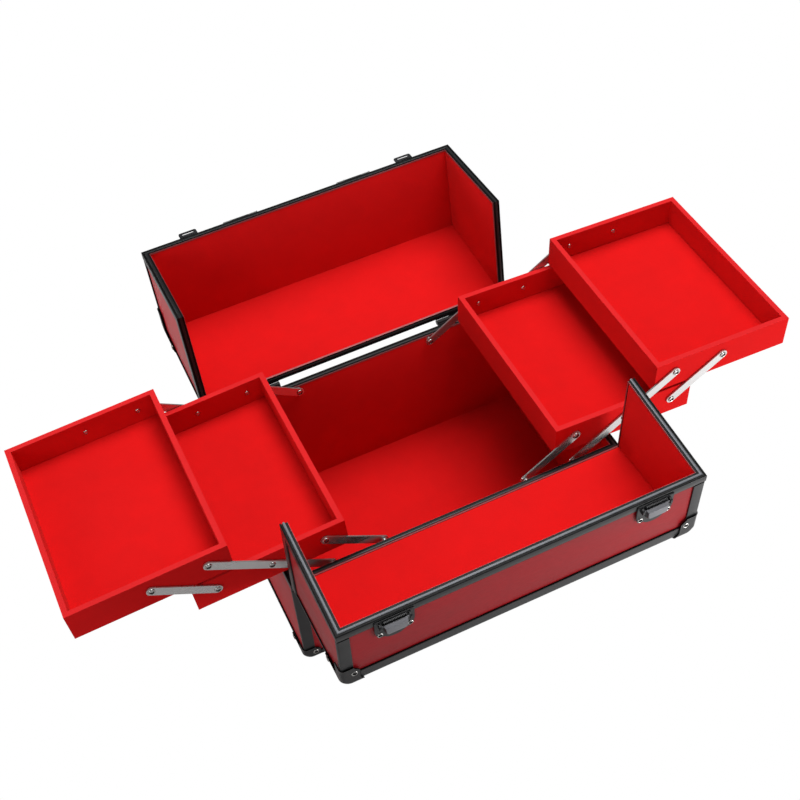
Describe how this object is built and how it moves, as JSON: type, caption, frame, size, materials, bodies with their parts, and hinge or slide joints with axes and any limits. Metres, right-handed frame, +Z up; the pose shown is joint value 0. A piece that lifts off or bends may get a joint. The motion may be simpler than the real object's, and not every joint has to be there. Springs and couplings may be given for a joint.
{
  "type": "makeup train case",
  "caption": "Hard makeup train case standing open: two half lids hinged outwards and stacked trays swung out on parallel arms.",
  "frame": {"origin": "middle of the case body's footprint, at the underside of its bottom corner caps", "axes": "+X along the case, towards the right-hand trays; +Y from the front lid with the latches towards the back lid with the handle; +Z up"},
  "size_m": [0.771, 0.5398, 0.289],
  "materials": {
    "laminated board": "red brushed laminate outside, red flocked lining inside",
    "flocked board": "red flocked lining over board",
    "black frame": "black anodised, satin",
    "corner cap": "charcoal plated steel, satin",
    "hinge": "black, satin",
    "tray arm": "bright plated",
    "latch plate": "gunmetal grey, satin",
    "latch lever": "grey, satin",
    "grey zinc": "light grey, satin",
    "handle grip": "black moulded"
  },
  "bodies": {
    "case": {"body_floor_panel": "laminated board", "body_left_panel": "laminated board", "body_right_panel": "laminated board", "body_front_panel": "laminated board", "body_back_panel": "laminated board", "body_top_rim": "black frame", "body_edge_frame": "black frame", "body_corner_cap_front_left": "corner cap", "body_corner_cap_front_right": "corner cap", "body_corner_cap_back_left": "corner cap", "body_corner_cap_back_right": "corner cap", "front_hinge_left_body_leaf": "hinge", "front_hinge_right_body_leaf": "hinge", "back_hinge_left_body_leaf": "hinge", "back_hinge_right_body_leaf": "hinge"},
    "front_lid": {"front_lid_outer_panel": "laminated board", "front_lid_top_panel": "laminated board", "front_lid_left_panel": "laminated board", "front_lid_right_panel": "laminated board", "front_lid_rim": "black frame", "front_lid_edge_frame": "black frame", "front_lid_corner_cap_left": "corner cap", "front_lid_corner_cap_right": "corner cap", "front_hinge_left_lid_leaf": "hinge", "front_hinge_right_lid_leaf": "hinge", "latch_plate_left": "latch plate", "latch_plate_right": "latch plate"},
    "back_lid": {"back_lid_outer_panel": "laminated board", "back_lid_top_panel": "laminated board", "back_lid_left_panel": "laminated board", "back_lid_right_panel": "laminated board", "back_lid_rim": "black frame", "back_lid_edge_frame": "black frame", "back_lid_corner_cap_left": "corner cap", "back_lid_corner_cap_right": "corner cap", "back_hinge_left_lid_leaf": "hinge", "back_hinge_right_lid_leaf": "hinge", "strike_left": "grey zinc", "strike_right": "grey zinc", "handle_bracket_left": "grey zinc", "handle_bracket_right": "grey zinc"},
    "latch_lever_left": {"latch_lever_left": "latch lever"},
    "latch_lever_right": {"latch_lever_right": "latch lever"},
    "carry_handle": {"carry_handle": "handle grip"},
    "left_long_arms": {"left_long_arm_front": "tray arm", "left_long_arm_back": "tray arm"},
    "left_inner_arms": {"left_inner_arm_front": "tray arm", "left_inner_arm_back": "tray arm"},
    "left_outer_arms": {"left_outer_arm_front": "tray arm", "left_outer_arm_back": "tray arm"},
    "left_lower_tray": {"left_lower_tray": "flocked board"},
    "left_upper_tray": {"left_upper_tray": "flocked board"},
    "right_long_arms": {"right_long_arm_front": "tray arm", "right_long_arm_back": "tray arm"},
    "right_inner_arms": {"right_inner_arm_front": "tray arm", "right_inner_arm_back": "tray arm"},
    "right_outer_arms": {"right_outer_arm_front": "tray arm", "right_outer_arm_back": "tray arm"},
    "right_lower_tray": {"right_lower_tray": "flocked board"},
    "right_upper_tray": {"right_upper_tray": "flocked board"}
  },
  "joints": [
    {"name": "front_lid_hinge", "type": "hinge", "parent": "case", "child": "front_lid", "pos_m": [0, -0.1265, 0.1557], "axis": [-1, 0, 0], "range_deg": [0, 18]},
    {"name": "back_lid_hinge", "type": "hinge", "parent": "case", "child": "back_lid", "pos_m": [0, 0.1265, 0.1557], "axis": [1, 0, 0], "range_deg": [0, 18]},
    {"name": "latch_lever_left_hinge", "type": "hinge", "parent": "front_lid", "child": "latch_lever_left", "pos_m": [-0.129, -0.26387, 0.2545], "axis": [-1, 0, 0], "range_deg": [0, 60]},
    {"name": "latch_lever_right_hinge", "type": "hinge", "parent": "front_lid", "child": "latch_lever_right", "pos_m": [0.129, -0.26387, 0.2545], "axis": [-1, 0, 0], "range_deg": [0, 60]},
    {"name": "carry_handle_hinge", "type": "hinge", "parent": "back_lid", "child": "carry_handle", "pos_m": [0, 0.2678, 0.26974], "axis": [1, 0, 0], "range_deg": [-6, 110]},
    {"name": "left_long_arms_hinge", "type": "hinge", "parent": "case", "child": "left_long_arms", "pos_m": [-0.1346, 0, 0.147], "axis": [0, 1, 0], "range_deg": [0, 110]},
    {"name": "left_inner_arms_hinge", "type": "hinge", "parent": "case", "child": "left_inner_arms", "pos_m": [-0.07896, 0, 0.14953], "axis": [0, 1, 0], "range_deg": [0, 110]},
    {"name": "left_lower_tray_hinge", "type": "hinge", "parent": "left_long_arms", "child": "left_lower_tray", "pos_m": [-0.19233, 0, 0.18382], "axis": [0, -1, 0], "range_deg": [0, 110]},
    {"name": "left_upper_tray_hinge", "type": "hinge", "parent": "left_long_arms", "child": "left_upper_tray", "pos_m": [-0.25006, 0, 0.22064], "axis": [0, -1, 0], "range_deg": [0, 110]},
    {"name": "left_outer_arms_hinge", "type": "hinge", "parent": "left_lower_tray", "child": "left_outer_arms", "pos_m": [-0.24797, 0, 0.18129], "axis": [0, 1, 0], "range_deg": [0, 110]},
    {"name": "right_long_arms_hinge", "type": "hinge", "parent": "case", "child": "right_long_arms", "pos_m": [0.1346, 0, 0.147], "axis": [0, -1, 0], "range_deg": [0, 110]},
    {"name": "right_inner_arms_hinge", "type": "hinge", "parent": "case", "child": "right_inner_arms", "pos_m": [0.07896, 0, 0.14953], "axis": [0, -1, 0], "range_deg": [0, 110]},
    {"name": "right_lower_tray_hinge", "type": "hinge", "parent": "right_long_arms", "child": "right_lower_tray", "pos_m": [0.19233, 0, 0.18382], "axis": [0, 1, 0], "range_deg": [0, 110]},
    {"name": "right_upper_tray_hinge", "type": "hinge", "parent": "right_long_arms", "child": "right_upper_tray", "pos_m": [0.25006, 0, 0.22064], "axis": [0, 1, 0], "range_deg": [0, 110]},
    {"name": "right_outer_arms_hinge", "type": "hinge", "parent": "right_lower_tray", "child": "right_outer_arms", "pos_m": [0.24797, 0, 0.18129], "axis": [0, -1, 0], "range_deg": [0, 110]}
  ],
  "couplings": [
    {"joint": "left_inner_arms_hinge", "follows": "left_long_arms_hinge", "ratio": 1},
    {"joint": "left_lower_tray_hinge", "follows": "left_long_arms_hinge", "ratio": 1},
    {"joint": "left_upper_tray_hinge", "follows": "left_long_arms_hinge", "ratio": 1},
    {"joint": "left_outer_arms_hinge", "follows": "left_long_arms_hinge", "ratio": 1},
    {"joint": "right_inner_arms_hinge", "follows": "right_long_arms_hinge", "ratio": 1},
    {"joint": "right_lower_tray_hinge", "follows": "right_long_arms_hinge", "ratio": 1},
    {"joint": "right_upper_tray_hinge", "follows": "right_long_arms_hinge", "ratio": 1},
    {"joint": "right_outer_arms_hinge", "follows": "right_long_arms_hinge", "ratio": 1}
  ]
}
